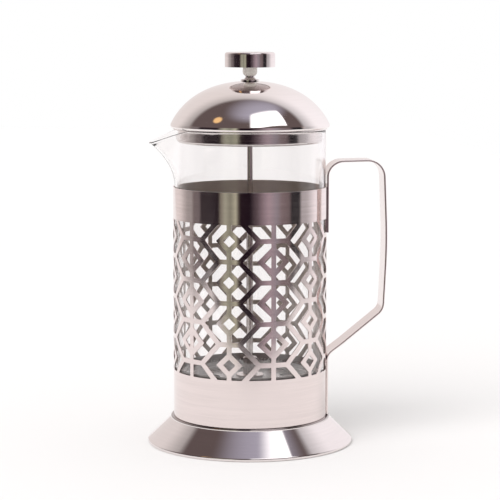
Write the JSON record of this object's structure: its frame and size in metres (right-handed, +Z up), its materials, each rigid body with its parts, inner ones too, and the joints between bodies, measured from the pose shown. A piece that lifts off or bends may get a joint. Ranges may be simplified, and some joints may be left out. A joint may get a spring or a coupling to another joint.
{
  "type": "french press",
  "caption": "French press: glass beaker with a spout in a pierced steel sleeve on a flared base, strip handle, domed lid, and a plunger with a coil-edged mesh filter.",
  "frame": {"origin": "centre of the base, in the plane of the ring that the press stands on", "axes": "+Z up along the axis of the beaker and plunger; the handle is on +X and the pouring spout on -X"},
  "size_m": [0.1547, 0.133, 0.2519],
  "materials": {
    "brushed_steel": "brushed",
    "polished_steel": "mirror polished",
    "satin_steel": "satin",
    "steel_mesh": "woven wire",
    "clear_glass": "clear"
  },
  "bodies": {
    "frame": {"sleeve": "brushed_steel", "flared_base": "polished_steel", "base_floor": "brushed_steel", "handle_strip": "brushed_steel"},
    "beaker": {"glass_beaker": "clear_glass"},
    "lid": {"lid_dome": "polished_steel", "lid_pan": "brushed_steel", "bush_nut": "brushed_steel"},
    "guide": {"guide_bush": "polished_steel"},
    "plunger": {"knob_shell": "brushed_steel", "knob_insert": "satin_steel", "knob_neck": "satin_steel", "plunger_rod": "polished_steel", "hub_nut": "polished_steel", "spiral_plate": "brushed_steel", "filter_spring": "polished_steel", "filter_mesh": "steel_mesh", "cross_plate": "brushed_steel", "end_nut": "polished_steel"}
  },
  "joints": [
    {"name": "beaker_lift", "type": "slide", "parent": "frame", "child": "beaker", "axis": [0, 0, 1], "range_m": [0, 0.17]},
    {"name": "lid_lift", "type": "slide", "parent": "beaker", "child": "lid", "axis": [0, 0, 1], "range_m": [0, 0.18]},
    {"name": "plunger_turn", "type": "hinge", "parent": "lid", "child": "guide", "pos_m": [0, 0, 0.2336], "axis": [0, 0, 1], "continuous": true},
    {"name": "plunger_slide", "type": "slide", "parent": "guide", "child": "plunger", "axis": [0, 0, 1], "range_m": [0, 0.135]}
  ]
}
